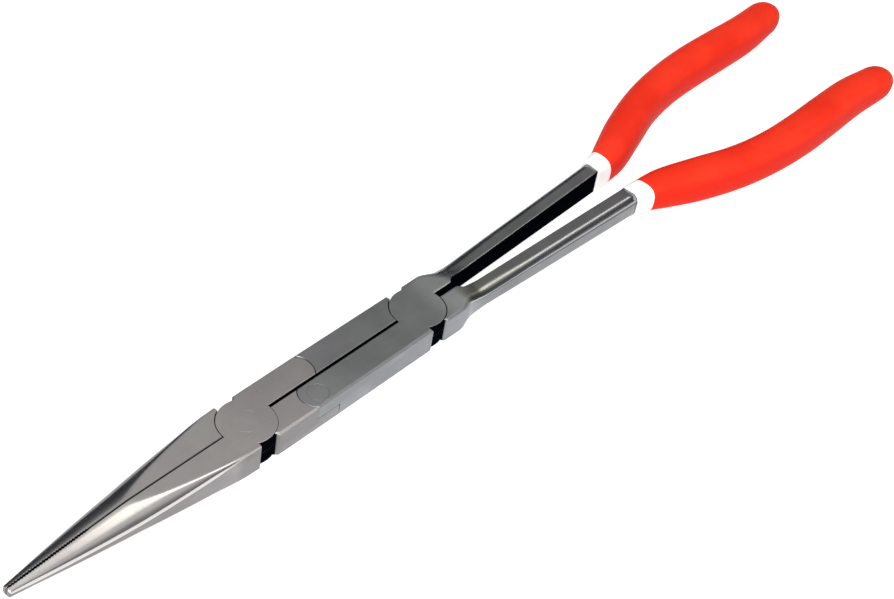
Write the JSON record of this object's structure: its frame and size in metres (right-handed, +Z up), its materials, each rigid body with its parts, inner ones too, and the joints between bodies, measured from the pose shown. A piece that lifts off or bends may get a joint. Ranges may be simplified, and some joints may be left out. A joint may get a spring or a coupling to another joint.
{
  "type": "long-reach double-joint needle-nose pliers",
  "caption": "Long-reach needle-nose pliers with a double-joint link linkage, straight tapered jaws, bare steel handle bars and dipped grips with white collars.",
  "frame": {"origin": "middle of the tool's length and width, on the plane that the grips rest on", "axes": "+X from the jaws to the grips, +Y across the tool, +Z up through its thickness"},
  "size_m": [0.3468, 0.0576, 0.0133],
  "materials": {
    "forged_steel": "satin ground alloy steel, polished on the nose",
    "rivet_steel": "ground flush with the faces",
    "white_coat": "smooth dipped vinyl",
    "red_coat": "smooth dipped vinyl with a soft sheen"
  },
  "bodies": {
    "handle_b": {"handle_lever_b": "forged_steel", "base_coat_b": "white_coat", "grip_b": "red_coat", "rear_pivot_rivet": "rivet_steel", "upper_link_rivet": "rivet_steel"},
    "handle_a": {"handle_lever_a": "forged_steel", "base_coat_a": "white_coat", "grip_a": "red_coat", "lower_link_rivet": "rivet_steel"},
    "jaw_a": {"jaw_a": "forged_steel", "front_pivot_rivet": "rivet_steel"},
    "jaw_b": {"jaw_b": "forged_steel"}
  },
  "joints": [
    {"name": "rear_pivot", "type": "hinge", "parent": "handle_b", "child": "handle_a", "pos_m": [-0.035, 0, 0.00665], "axis": [0, 0, 1], "range_deg": [0, 16.6]},
    {"name": "upper_link", "type": "hinge", "parent": "handle_b", "child": "jaw_a", "pos_m": [-0.0779, 0.0046, 0.00665], "axis": [0, 0, 1], "range_deg": [0, 26.2]},
    {"name": "front_pivot", "type": "hinge", "parent": "jaw_a", "child": "jaw_b", "pos_m": [-0.0986, 0, 0.00665], "axis": [0, 0, 1], "range_deg": [-35.7, 0]}
  ],
  "couplings": [
    {"joint": "upper_link", "follows": "rear_pivot", "ratio": 1.5703},
    {"joint": "front_pivot", "follows": "rear_pivot", "ratio": -2.1405}
  ]
}
